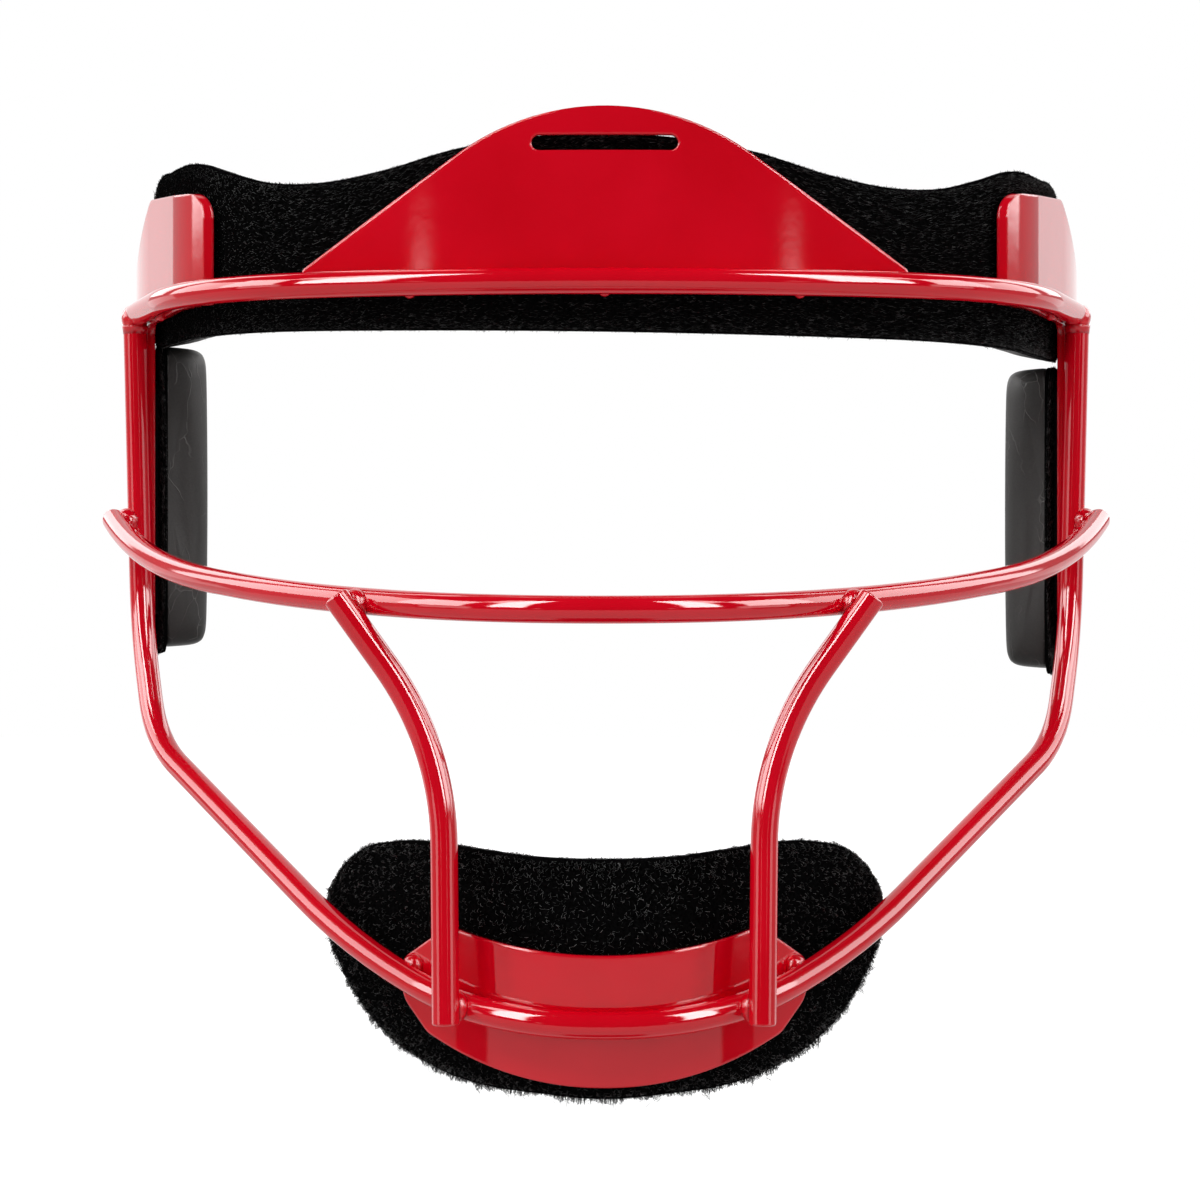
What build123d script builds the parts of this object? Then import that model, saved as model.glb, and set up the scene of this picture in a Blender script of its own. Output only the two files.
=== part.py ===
from build123d import *
import os
from math import atan2, cos, degrees, hypot, radians, sin, sqrt, tan

os.makedirs("parts", exist_ok=True)

# Softball face guard: bars and plates of coated steel, welded together, with four soft pads
# that hook-and-loop tape holds to the plates. Millimetres, +Z up, the wearer faces -Y.
# The origin is the middle of the space that the wearer's head fills.
# Each "half" size is measured from the mirror plane, and "left" is the side of -X.

# Steel stock, with its coating
wire_diameter = 5.0
sheet_thickness = 1.6
steel_gap = 0.05
bend_gap = 0.2

# Strap slots, for elastic 25 mm wide
slot_length = 28.0
slot_width = 3.0

# Brow bar, level, from the middle back to the upright and a little past it
brow_height = 60.5
brow_front = 60.5
brow_front_radius = 202.0
brow_front_turn = 16.4
brow_corner_radius = 50.1
brow_corner_turn = 55.7
brow_side_length = 29.0
brow_tail_length = 4.0

# Temple plates follow the brow bar and turn a little more behind the upright
temple_turn_radius = 222.0
temple_turn = 8.0
temple_rear_length = 16.0

# Jaw bar: chin run, slanting runs and uprights in one bar
chin_half_width = 21.0
chin_front = 92.0
chin_drop = 76.3
jaw_half_width = 47.5
jaw_front = 65.2
jaw_drop = 64.9
rise_half_width = 93.2
rise_front = 6.4
rise_drop = 29.4
upright_outset = 0.4
upright_lean = 1.6
upright_drop = 6.3
jaw_bend_shares = [0.495, 0.46, 0.36, 0.43]

# Cheek bar, bowed round the face, with its ends outside the uprights
cheek_half_width = 21.95
cheek_front = 100.0
cheek_drop = 1.7
cheek_bow_half_width = 58.4
cheek_bow_front = 66.9
cheek_bow_rise = 0.7
cheek_side_rise = 6.7
cheek_side_front = 18.7
cheek_end_rise = 26.6
cheek_end_behind = 27.0
cheek_end_heading = 69.0
cheek_end_short = 1.0
cheek_bend_shares = [0.49, 0.5, 0.49]

# Mouth bars, lapped in front of the cheek bar and the chin run
mouth_top_along = 49.6
mouth_bottom_along = 27.3
mouth_bend_half_width = 29.2
mouth_bend_front = 85.5
mouth_bend_drop = 26.5
mouth_top_overhang = 2.7
mouth_bottom_overhang = 3.0
mouth_bend_share = 0.53
mouth_end_round = 0.6

# Forehead plate, seen from the front
forehead_plate_half_width = 58.6
forehead_plate_low = 2.0
forehead_plate_side = 3.2
forehead_plate_peak = 44.7
forehead_plate_peak_radius = 49.0
forehead_plate_corner_radius = 1.3
forehead_slot_height = 26.7

# Temple plates, seen from the side: a lobe above the brow bar and a leg behind the upright
lobe_front = 34.4
lobe_height = 24.1
lobe_top_length = 41.1
lobe_front_drop = 4.0
lobe_rear_drop = 13.8
lobe_corner_radius = 5.5
lobe_top_radius = 9.0
leg_clearance = 0.15
leg_length = 27.8
leg_drop = 11.7
leg_corner_radius = 5.0
leg_inner_radius = 2.0
tab_length = 8.6
tab_height = 36.0
tab_rise = 32.5
tab_corner_radius = 3.0

# Chin plate, seen from the front
chin_plate_half_width = 37.6
chin_plate_height = 28.2
chin_plate_below = 11.6
chin_plate_outline_shares = [
    (0.0, 0.70, 3.30),
    (0.76, 1.0, 0.07),
    (1.0, 0.752, 0.11),
    (1.0, 0.507, 0.21),
    (0.867, 0.29, 0.14),
    (0.0, -0.256, 2.41),
]

# Hook tapes on the plates and the gap that their hooks bridge to each pad
hook_thickness = 1.2
hook_gap = 0.3
tape_corner_radius = 2.0
forehead_tape_width = 96.0
forehead_tape_height = 17.0
lobe_tape_length = 34.0
lobe_tape_height = 15.0
leg_tape_length = 20.0
leg_tape_height = 50.0
chin_tape_width = 56.0
chin_tape_height = 12.0
tape_margin = 3.0

# Pads: each is a loop fabric in front, a foam core and a cover behind
loop_thickness = 1.0
cover_thickness = 0.8
crown_rise_share = 0.1
crown_round_share = 0.6
pad_edge_share = 0.38
pad_draw_share = 0.12

# Forehead pad: places along its rail, lower and upper edge, and thickness
forehead_pad_half_length = 152.5
forehead_pad_height = 38.0
forehead_pad_thickness = 10.0
forehead_pad_low = 9.1
forehead_pad_low_tilt_share = 0.0145
forehead_pad_high_tilt_share = 0.009
forehead_pad_shares = [
    (0.0, 0.0, 1.0, 1.0),
    (0.197, 0.0, 0.921, 1.0),
    (0.295, 0.0, 0.818, 1.0),
    (0.38, 0.0, 0.766, 1.0),
    (0.456, 0.0, 0.776, 1.0),
    (0.538, 0.0, 0.847, 1.0),
    (0.61, 0.0, 0.918, 1.0),
    (0.695, 0.005, 0.955, 1.0),
    (0.82, 0.032, 0.982, 1.0),
    (0.925, 0.06, 0.992, 0.92),
    (0.97, 0.08, 0.95, 0.78),
    (1.0, 0.15, 0.84, 0.5),
]

# Side pads, on the legs of the temple plates
side_pad_length = 33.0
side_pad_height = 63.8
side_pad_thickness = 10.5
left_side_pad_rise = 22.2
right_side_pad_rise = 17.6
side_pad_shares = [
    (0.0, 0.05, 0.95, 0.6),
    (0.07, 0.015, 0.985, 0.86),
    (0.22, 0.0, 1.0, 1.0),
    (0.5, 0.0, 1.0, 1.03),
    (0.78, 0.0, 1.0, 1.0),
    (0.93, 0.015, 0.985, 0.86),
    (1.0, 0.05, 0.95, 0.6),
]

# Chin pad, a cup behind the chin plate
chin_pad_half_length = 71.0
chin_pad_height = 43.6
chin_pad_thickness = 10.0
chin_pad_below = 14.2
chin_pad_shares = [
    (0.0, 0.0, 1.0, 1.0),
    (0.197, 0.02, 1.007, 1.0),
    (0.38, 0.04, 1.03, 1.0),
    (0.583, 0.096, 1.048, 1.0),
    (0.732, 0.177, 1.034, 0.96),
    (0.865, 0.32, 0.984, 0.86),
    (0.944, 0.459, 0.899, 0.7),
    (1.0, 0.596, 0.796, 0.45),
]

# Weld beads
weld_radius = 2.9
weld_collar_height = 1.8
weld_collar_spread = 0.3
plate_weld_radius = 2.2
hidden_weld_radius = 1.2
forehead_weld_spacing = 38.0
temple_weld_along = 118.0
leg_weld_rise = 0.5
chin_weld_along = 42.5
chin_weld_rise = 1.7

# How far cutting shapes run past what they cut
overrun = 60.0

wire_radius = wire_diameter / 2
bar_spacing = wire_diameter + steel_gap
plate_inset = wire_radius + steel_gap
tape_inset = plate_inset + sheet_thickness
pad_inset = tape_inset + hook_thickness + hook_gap


def heading(angle):
    """Unit vector in plan, this many degrees from +X towards +Y."""
    return Vector(cos(radians(angle)), sin(radians(angle)), 0)


def track(runs, front, inset=0.0):
    """Edges of the right half of a level track, from the mirror plane to its end.

    Each run is (radius, turn) for an arc, or (length, 0) for a straight. The track starts in
    front of the origin, square to the mirror plane, and inset moves it towards the head.
    """
    place = Vector(0, inset - front, 0)
    turned = 0
    edges = []
    for size, turn in runs:
        if turn:
            edge = JernArc(place, heading(turned), size - inset, turn)
        else:
            edge = Line(place, place + heading(turned) * size)
        edges.append(edge)
        place = edge @ 1
        turned = turned + turn
    return edges


def wall(runs, front, near, far, low, high):
    """Upright sheet along a track, between two insets and two heights."""
    outer = track(runs, front, near)
    inner = track(runs, front, far)
    rim = outer + inner + [Line(outer[0] @ 0, inner[0] @ 0), Line(outer[-1] @ 1, inner[-1] @ 1)]
    half = extrude(Pos(0, 0, low) * make_face(Curve() + rim), high - low)
    return half + mirror(half, Plane.YZ)


def bend_path(points, shares):
    """Straight runs joined by arcs, where each arc takes a share of its shorter run."""
    radii = []
    for before, corner, after, share in zip(points, points[1:], points[2:], shares):
        arriving = corner - before
        leaving = after - corner
        half_turn = radians(arriving.get_angle(leaving)) / 2
        radii.append(share * min(arriving.length, leaving.length) / tan(half_turn))
    return FilletPolyline(*points, radius=radii)


def mirrored(point):
    """The same place on the left side."""
    return Vector(-point.X, point.Y, point.Z)


def full_path(half_points, half_shares):
    """Path from the left end to the right end, through the points of the right half."""
    points = [mirrored(point) for point in reversed(half_points)] + half_points
    return bend_path(points, list(reversed(half_shares)) + half_shares)


def round_bar(path, radius=wire_radius):
    """Round bar along a path."""
    return sweep(Plane(path @ 0, z_dir=path % 0) * Circle(radius), path)


def along_bar(path, distance):
    """Place and direction on a full path, at a distance to the right of its middle."""
    length = path.length / 2 + distance
    spot = path.position_at(length, PositionMode.LENGTH)
    return spot, path.tangent_at(length, PositionMode.LENGTH)


def lapped(spot, direction, toward):
    """Place in front of a bar, for a second bar that crosses it there on its way to a point.

    The two centre lines end up one bar spacing apart, measured square to both.
    """
    normal = direction.cross(toward - spot)
    forward = normal.normalized() * (-1 if normal.Y > 0 else 1)
    return spot + forward * (bar_spacing / sqrt(1 - (bar_spacing / normal.length) ** 2))


def outline_face(points, radii):
    """Closed outline with rounded corners."""
    return make_face(FilletPolyline(*points, radius=radii, close=True))


def front_prism(face):
    """An outline drawn in X and Z, run back from far in front of the guard to the origin's plane."""
    depth = cheek_front + overrun
    return extrude(Plane((0, -depth, 0), x_dir=(1, 0, 0), z_dir=(0, -1, 0)) * face, -depth)


def side_prism(face):
    """An outline drawn in Y and Z, run from the mirror plane to the right."""
    return extrude(Plane.YZ * face, chin_front + overrun)


def with_mirror(shape):
    """A shape of the right side together with its mirror image."""
    return shape + mirror(shape, Plane.YZ)


# Tracks of the brow, the temple plates and the chin
brow_runs = [
    (brow_front_radius, brow_front_turn),
    (brow_corner_radius, brow_corner_turn),
    (brow_side_length, 0),
]
side_heading = brow_front_turn + brow_corner_turn
temple_runs = brow_runs + [(temple_turn_radius, temple_turn), (temple_rear_length, 0)]
temple_rail = Wire(Curve() + track(temple_runs, brow_front))
brow_at_upright = track(brow_runs, brow_front)[-1] @ 1

upright_top = brow_at_upright + Vector(upright_outset, 0, brow_height)
upright_foot = upright_top - Vector(upright_lean, 0, brow_height + upright_drop)
chin_corner = Vector(chin_half_width, -chin_front, -chin_drop)
jaw_corner = Vector(jaw_half_width, -jaw_front, -jaw_drop)
rise_corner = Vector(rise_half_width, -rise_front, -rise_drop)
jaw_path = full_path([chin_corner, jaw_corner, rise_corner, upright_foot, upright_top], jaw_bend_shares)

chin_run = jaw_corner - chin_corner
chin_turn = degrees(atan2(chin_run.Y, chin_run.X))
chin_tangent = jaw_bend_shares[0] * min(chin_run.length, 2 * chin_half_width)
chin_tangent_in_plan = chin_tangent * (1 + hypot(chin_run.X, chin_run.Y) / chin_run.length) / 2
chin_track_radius = chin_tangent_in_plan / tan(radians(chin_turn) / 2)
chin_runs = [
    (chin_half_width - chin_tangent_in_plan, 0),
    (chin_track_radius, chin_turn),
    (chin_pad_half_length, 0),
]
chin_rail = Wire(Curve() + track(chin_runs, chin_front))
chin_plate_inset = plate_inset + bend_gap


def upright_at(height):
    """Centre of the right upright at a height."""
    share = (height - upright_foot.Z) / (upright_top.Z - upright_foot.Z)
    return upright_foot + (upright_top - upright_foot) * share


# Cheek bar path: its ends pass each upright at one bar spacing
cheek_direction = heading(cheek_end_heading)
cheek_pass = upright_at(cheek_end_rise - cheek_end_behind * (cheek_end_rise - cheek_side_rise)
                        / (cheek_end_behind + cheek_side_front + upright_foot.Y))
cheek_beside = cheek_pass + Vector(cheek_direction.Y, -cheek_direction.X, 0) * bar_spacing
cheek_end = cheek_beside + cheek_direction * (cheek_end_behind / cheek_direction.Y)
cheek_side = cheek_beside - cheek_direction * ((cheek_beside.Y + cheek_side_front) / cheek_direction.Y)
cheek_points = [
    Vector(cheek_half_width, -cheek_front, -cheek_drop),
    Vector(cheek_bow_half_width, -cheek_bow_front, cheek_bow_rise),
    Vector(cheek_side.X, cheek_side.Y, cheek_side_rise),
    Vector(cheek_end.X, cheek_end.Y, cheek_end_rise),
]
cheek_path = full_path(cheek_points, cheek_bend_shares)

# Right mouth bar path: lapped on the cheek bar above and on the chin run below
mouth_bend = Vector(mouth_bend_half_width, -mouth_bend_front, -mouth_bend_drop)
mouth_top_spot, mouth_top_direction = along_bar(cheek_path, mouth_top_along)
mouth_bottom_spot, mouth_bottom_direction = along_bar(jaw_path, mouth_bottom_along)
mouth_top = lapped(mouth_top_spot, mouth_top_direction, mouth_bend)
mouth_bottom = lapped(mouth_bottom_spot, mouth_bottom_direction, mouth_bend)
mouth_path = bend_path(
    [
        mouth_top + (mouth_top - mouth_bend).normalized() * mouth_top_overhang,
        mouth_bend,
        mouth_bottom + (mouth_bottom - mouth_bend).normalized() * mouth_bottom_overhang,
    ],
    [mouth_bend_share],
)


def make_brow_bar():
    """Level bar round the forehead, cut square behind the uprights."""
    half = Wire(Curve() + track(brow_runs + [(brow_tail_length, 0)], brow_front))
    return with_mirror(round_bar(Pos(0, 0, brow_height) * half))


def make_jaw_bar():
    """Uprights, slanting runs and chin run, coped under the brow bar."""
    cope = Wire(Curve() + track(brow_runs + [(overrun, 0)], brow_front))
    return round_bar(jaw_path) - with_mirror(round_bar(Pos(0, 0, brow_height) * cope, plate_inset))


def make_cheek_bar():
    """Bar round the cheeks, cut off beside the uprights."""
    behind = Pos(0, upright_foot.Y - cheek_end_short, 0)
    size = 2 * (chin_front + overrun)
    cutter = behind * Box(size, size, size, align=(Align.CENTER, Align.MIN, Align.CENTER))
    return round_bar(cheek_path) - cutter


def make_mouth_bar():
    """Right mouth bar, with slightly rounded ends."""
    bar = round_bar(mouth_path)
    ends = bar.edges().filter_by(GeomType.CIRCLE).sort_by(Axis.Z)
    return fillet([ends[0], ends[-1]], mouth_end_round)


def peaked_outline(half, low):
    """Front outline of the forehead plate, of a half width and from a distance below the brow bar's middle."""
    return outline_face(
        [
            (-half, brow_height - low),
            (half, brow_height - low),
            (half, brow_height + forehead_plate_side),
            (0, brow_height + forehead_plate_peak),
            (-half, brow_height + forehead_plate_side),
        ],
        [0, 0, forehead_plate_corner_radius, forehead_plate_peak_radius, forehead_plate_corner_radius],
    )


def make_forehead_plate():
    """Peaked sheet behind the middle of the brow bar, with a strap slot near its top."""
    outline = peaked_outline(forehead_plate_half_width, forehead_plate_low)
    slot = Pos(0, brow_height + forehead_slot_height) * SlotOverall(slot_length, slot_width)
    sheet = wall(brow_runs, brow_front, plate_inset, tape_inset, 0, brow_height + forehead_plate_peak)
    return sheet & front_prism(outline - slot)


def temple_outline():
    """Side outline of a temple plate: lobe, rear edge with the strap tab, and leg."""
    front = -lobe_front
    low = brow_height - forehead_plate_low
    top = brow_height + lobe_height
    leg_front = upright_foot.Y + wire_radius + leg_clearance
    leg_back = leg_front + leg_length
    tab_back = leg_back + tab_length
    tab_low = tab_rise - tab_height / 2
    tab_high = tab_rise + tab_height / 2
    points = [
        (front, low),
        (front, top - lobe_front_drop),
        (front + lobe_top_length, top),
        (leg_back, top - lobe_rear_drop),
        (leg_back, tab_high + tab_corner_radius),
        (tab_back, tab_high - tab_corner_radius),
        (tab_back, tab_low + tab_corner_radius),
        (leg_back, tab_low - tab_corner_radius),
        (leg_back, -leg_drop),
        (leg_front, -leg_drop),
        (leg_front, low),
    ]
    radii = [
        0,
        lobe_corner_radius,
        lobe_top_radius,
        leg_corner_radius,
        tab_corner_radius,
        tab_corner_radius,
        tab_corner_radius,
        tab_corner_radius,
        leg_corner_radius,
        leg_corner_radius,
        leg_inner_radius,
    ]
    slot = Pos(leg_back + tab_length / 2, tab_rise) * Rot(0, 0, 90) * SlotOverall(slot_length, slot_width)
    return outline_face(points, radii) - slot


def make_temple_plate():
    """Right temple plate, bent to the temple track inside the brow bar and the upright."""
    sheet = wall(temple_runs, brow_front, plate_inset, tape_inset, -2 * leg_drop, brow_height + 2 * lobe_height)
    return sheet & side_prism(temple_outline())


def chin_outline():
    """Front outline of the chin plate: a smile with an ear at each end."""
    base = -chin_drop - chin_plate_below
    right = [
        (x * chin_plate_half_width, base + z * chin_plate_height, radius * chin_plate_height)
        for x, z, radius in chin_plate_outline_shares
    ]
    left = [(-x, z, radius) for x, z, radius in reversed(right[1:-1])]
    corners = right + left
    return outline_face([(x, z) for x, z, radius in corners], [radius for x, z, radius in corners])


def make_chin_plate():
    """Sheet behind the chin run."""
    near = chin_plate_inset
    high = -chin_drop + 2 * chin_plate_height
    low = -chin_drop - 2 * chin_plate_height
    sheet = wall(chin_runs, chin_front, near, near + sheet_thickness, low, high)
    return sheet & front_prism(chin_outline())


def tape_face(center_x, center_z, width, height):
    """Outline of a hook tape, with rounded corners."""
    return Pos(center_x, center_z) * RectangleRounded(width, height, tape_corner_radius)


def make_forehead_hook_tape():
    """Hook tape on the back of the forehead plate, below the slot."""
    middle = brow_height + forehead_plate_side + forehead_tape_height / 2 - tape_margin
    face = tape_face(0, middle, forehead_tape_width, forehead_tape_height)
    face = face & (Pos(0, -tape_margin) * peaked_outline(forehead_plate_half_width - tape_margin, 0))
    sheet = wall(brow_runs, brow_front, tape_inset, tape_inset + hook_thickness, 0, 2 * brow_height)
    return sheet & front_prism(face)


def make_lobe_hook_tape():
    """Hook tape inside the right temple lobe."""
    middle = -lobe_front + tape_margin + lobe_tape_length / 2
    face = tape_face(middle, brow_height + lobe_height / 2, lobe_tape_length, lobe_tape_height)
    sheet = wall(temple_runs, brow_front, tape_inset, tape_inset + hook_thickness, 0, 2 * brow_height)
    return sheet & side_prism(face)


def make_leg_hook_tape():
    """Hook tape inside the right leg."""
    middle = upright_foot.Y + wire_radius + leg_clearance + leg_length / 2
    face = tape_face(middle, leg_tape_height / 2 - tape_margin, leg_tape_length, leg_tape_height)
    low = -2 * leg_drop
    sheet = wall(temple_runs, brow_front, tape_inset, tape_inset + hook_thickness, low, brow_height)
    return sheet & side_prism(face)


def make_chin_hook_tape():
    """Hook tape on the back of the chin plate."""
    near = chin_plate_inset + sheet_thickness
    face = tape_face(0, -chin_drop, chin_tape_width, chin_tape_height)
    high = -chin_drop + chin_plate_height
    low = -chin_drop - chin_plate_height
    return wall(chin_runs, chin_front, near, near + hook_thickness, low, high) & front_prism(face)


def pad_section(rail, distance, side, inset, low, high, depth):
    """Section of a pad square to its rail: flat in front, drawn-in sides, crowned and rounded behind.

    The inset is where the section starts, one fabric thickness in front of the pad's front face.
    """
    spot = rail.position_at(distance, PositionMode.LENGTH)
    ahead = rail.tangent_at(distance, PositionMode.LENGTH)
    inward = Vector(-ahead.Y * side, ahead.X, 0)
    plane = Plane((spot.X * side, spot.Y, 0), x_dir=inward, z_dir=inward.cross(Vector(0, 0, 1)))
    draw = pad_draw_share * depth
    back = inset + loop_thickness + depth
    shoulder = back - depth * crown_rise_share
    half_height = (high - low) / 2 - draw
    crown_angle = atan2(crown_rise_share * depth, half_height)
    crown_radius = crown_round_share * half_height / tan(crown_angle)
    edge_radius = pad_edge_share * min(depth, half_height)
    face = outline_face(
        [
            (inset, low),
            (inset, high),
            (shoulder, high - draw),
            (back, (low + high) / 2),
            (shoulder, low + draw),
        ],
        [0, 0, edge_radius, crown_radius, edge_radius],
    )
    return plane * face


def pad_loft(rail, stations, inset, skin):
    """Pad body through its sections, drawn in by the thickness of a skin on the ends, edges and back."""
    first = stations[0][0] * stations[0][1]
    last = stations[-1][0] * stations[-1][1]
    sections = []
    for side, distance, low, high, depth in stations:
        place = side * distance
        if place == first:
            place = place + skin
        if place == last:
            place = place - skin
        turn = -1 if place < 0 else 1
        sections.append(pad_section(rail, abs(place), turn if place else side, inset, low + skin, high - skin,
                                    depth - skin))
    return loft(sections)


def pad_layers(name, rail, runs, front, stations, inset):
    """Loop fabric, foam core and cover of one pad, by node name.

    The body starts a little too far forward, and the slabs cut its front face to the track.
    """
    body = pad_loft(rail, stations, inset - loop_thickness, 0)
    core = pad_loft(rail, stations, inset - loop_thickness, cover_thickness)
    low = min(station[2] for station in stations) - loop_thickness
    high = max(station[3] for station in stations) + loop_thickness
    fabric = wall(runs, front, inset, inset + loop_thickness, low, high)
    front_slab = wall(runs, front, -overrun, inset + loop_thickness, low, high)
    foam = core - front_slab
    return {
        name + "_loop": body & fabric,
        name + "_foam": foam,
        name + "_cover": body - front_slab - foam,
    }


def make_forehead_pad():
    """Long pad behind the forehead plate and the temple lobes, worn a little lower on the right."""
    base = brow_height - forehead_pad_low
    stations = []
    for side in (-1, 1):
        for along, low, high, depth in forehead_pad_shares:
            distance = along * forehead_pad_half_length
            across = side * temple_rail.position_at(distance, PositionMode.LENGTH).X
            station = (
                side,
                distance,
                base + low * forehead_pad_height - forehead_pad_low_tilt_share * across,
                base + high * forehead_pad_height - forehead_pad_high_tilt_share * across,
                depth * forehead_pad_thickness,
            )
            if side > 0 and distance > 0:
                stations.append(station)
            if side < 0:
                stations.insert(0, station)
    return pad_layers("forehead_pad", temple_rail, temple_runs, brow_front, stations, pad_inset)


def make_side_pad(name, side, rise):
    """Thick pad on the leg of a temple plate."""
    start = sum(edge.length for edge in track(brow_runs, brow_front)) + steel_gap
    bottom = rise - side_pad_height / 2
    stations = [
        (
            side,
            start + along * side_pad_length,
            bottom + low * side_pad_height,
            bottom + high * side_pad_height,
            depth * side_pad_thickness,
        )
        for along, low, high, depth in side_pad_shares
    ]
    if side < 0:
        stations.reverse()
    return pad_layers(name, temple_rail, temple_runs, brow_front, stations, pad_inset)


def make_chin_pad():
    """Cup behind the chin plate."""
    base = -chin_drop - chin_pad_below
    right = [
        (
            1,
            along * chin_pad_half_length,
            base + low * chin_pad_height,
            base + high * chin_pad_height,
            depth * chin_pad_thickness,
        )
        for along, low, high, depth in chin_pad_shares
    ]
    left = [(-1,) + station[1:] for station in reversed(right[1:])]
    return pad_layers("chin_pad", chin_rail, chin_runs, chin_front, left + right, pad_inset + bend_gap)


def bead(spot, radius, neighbours):
    """Weld bead round a place, cut back to the steel that it joins and kept in one piece."""
    blob = Pos(spot) * Rot(0, 90, 0) * Sphere(radius)
    for neighbour in neighbours:
        blob = blob - neighbour
    return Part() + blob.solids().sort_by(SortBy.VOLUME)[-1]


def make_bar_welds(brow_bar, jaw_bar, cheek_bar, mouth_bar, temple_plate):
    """Beads between bars: collars under the brow bar and beads where bars lap."""
    collar_top = brow_height - wire_radius * (1 - weld_collar_spread / wire_diameter)
    collar = Pos(upright_at(collar_top - weld_collar_height / 2)) * Cone(
        wire_radius + steel_gap, wire_radius + weld_collar_spread, weld_collar_height
    )
    beads = collar - brow_bar - jaw_bar - temple_plate
    cheek_contact = (cheek_pass + cheek_beside) * 0.5
    beads = beads + bead(cheek_contact, weld_radius, [cheek_bar, jaw_bar])
    beads = beads + bead((mouth_top + mouth_top_spot) * 0.5, weld_radius, [cheek_bar, mouth_bar])
    beads = beads + bead((mouth_bottom + mouth_bottom_spot) * 0.5, weld_radius, [jaw_bar, mouth_bar])
    return with_mirror(beads)


def on_track(rail, distance, inset, height):
    """Place at a distance along the right half of a rail, moved inward, at a height."""
    spot = rail.position_at(distance, PositionMode.LENGTH)
    ahead = rail.tangent_at(distance, PositionMode.LENGTH)
    return spot + Vector(-ahead.Y, ahead.X, 0) * inset + Vector(0, 0, height)


def make_plate_welds(brow_bar, jaw_bar, forehead_plate, temple_plate, chin_plate):
    """Beads between bars and plates, most of them hidden behind the bars."""
    hidden_height = brow_height - forehead_plate_low + hidden_weld_radius / 3
    hidden_inset = plate_inset - hidden_weld_radius / 4
    leg_spot = upright_at(leg_weld_rise) + Vector(0, wire_radius, 0)
    chin_spot, chin_direction = along_bar(jaw_path, chin_weld_along)
    chin_inward = Vector(-chin_direction.Y, chin_direction.X, 0).normalized()
    chin_contact = chin_spot + chin_inward * wire_radius + Vector(0, 0, chin_weld_rise)
    middle = on_track(temple_rail, 0, hidden_inset, hidden_height)
    beside = on_track(temple_rail, forehead_weld_spacing, hidden_inset, hidden_height)
    temple = on_track(temple_rail, temple_weld_along, hidden_inset, hidden_height)
    beads = bead(beside, hidden_weld_radius, [brow_bar, forehead_plate])
    beads = beads + bead(temple, hidden_weld_radius, [brow_bar, temple_plate])
    beads = beads + bead(leg_spot, plate_weld_radius, [jaw_bar, temple_plate])
    beads = beads + bead(chin_contact, plate_weld_radius, [jaw_bar, chin_plate])
    return with_mirror(beads) + bead(middle, hidden_weld_radius, [brow_bar, forehead_plate])


brow_bar = make_brow_bar()
jaw_bar = make_jaw_bar()
cheek_bar = make_cheek_bar()
mouth_bar = make_mouth_bar()
forehead_plate = make_forehead_plate()
temple_plate = make_temple_plate()
chin_plate = make_chin_plate()
lobe_hook_tape = make_lobe_hook_tape()
leg_hook_tape = make_leg_hook_tape()

nodes = {
    "brow_bar": brow_bar,
    "jaw_bar": jaw_bar,
    "cheek_bar": cheek_bar,
    "right_mouth_bar": mouth_bar,
    "left_mouth_bar": mirror(mouth_bar, Plane.YZ),
    "forehead_plate": forehead_plate,
    "right_temple_plate": temple_plate,
    "left_temple_plate": mirror(temple_plate, Plane.YZ),
    "chin_plate": chin_plate,
    "bar_welds": make_bar_welds(brow_bar, jaw_bar, cheek_bar, mouth_bar, temple_plate),
    "plate_welds": make_plate_welds(brow_bar, jaw_bar, forehead_plate, temple_plate, chin_plate),
    "forehead_hook_tape": make_forehead_hook_tape(),
    "right_lobe_hook_tape": lobe_hook_tape,
    "left_lobe_hook_tape": mirror(lobe_hook_tape, Plane.YZ),
    "right_leg_hook_tape": leg_hook_tape,
    "left_leg_hook_tape": mirror(leg_hook_tape, Plane.YZ),
    "chin_hook_tape": make_chin_hook_tape(),
}
nodes.update(make_forehead_pad())
nodes.update(make_side_pad("left_side_pad", -1, left_side_pad_rise))
nodes.update(make_side_pad("right_side_pad", 1, right_side_pad_rise))
nodes.update(make_chin_pad())

for name, shape in nodes.items():
    export_step(shape, "parts/" + name + ".step")
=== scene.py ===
import math

import bmesh
import bpy
import numpy as np
from mathutils.kdtree import KDTree
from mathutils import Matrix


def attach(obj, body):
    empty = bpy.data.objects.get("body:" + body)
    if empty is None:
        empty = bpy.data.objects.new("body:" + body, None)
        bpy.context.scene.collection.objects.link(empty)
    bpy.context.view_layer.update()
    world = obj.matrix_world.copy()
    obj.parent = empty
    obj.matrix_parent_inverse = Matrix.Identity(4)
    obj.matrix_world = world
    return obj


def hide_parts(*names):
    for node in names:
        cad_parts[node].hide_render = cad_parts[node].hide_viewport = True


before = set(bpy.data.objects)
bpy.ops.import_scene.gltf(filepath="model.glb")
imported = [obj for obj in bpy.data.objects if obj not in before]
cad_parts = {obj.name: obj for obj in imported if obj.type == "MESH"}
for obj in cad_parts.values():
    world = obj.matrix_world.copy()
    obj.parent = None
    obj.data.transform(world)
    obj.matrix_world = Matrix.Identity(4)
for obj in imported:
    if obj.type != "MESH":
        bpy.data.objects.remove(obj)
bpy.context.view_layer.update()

# The room: the guard hangs as it is worn, level with the lens, over a white sweep. The lens is long
# and 640 mm from the middle of the wearer's head, a fifth of a degree off the guard's own middle.
millimetre = 0.001
lens_distance = 640 * millimetre
lens_turn = math.radians(0.2)
photo_width = 1200
focal_pixels = 3058
middle_column = 605.8
sensor_width = 36.0

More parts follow.
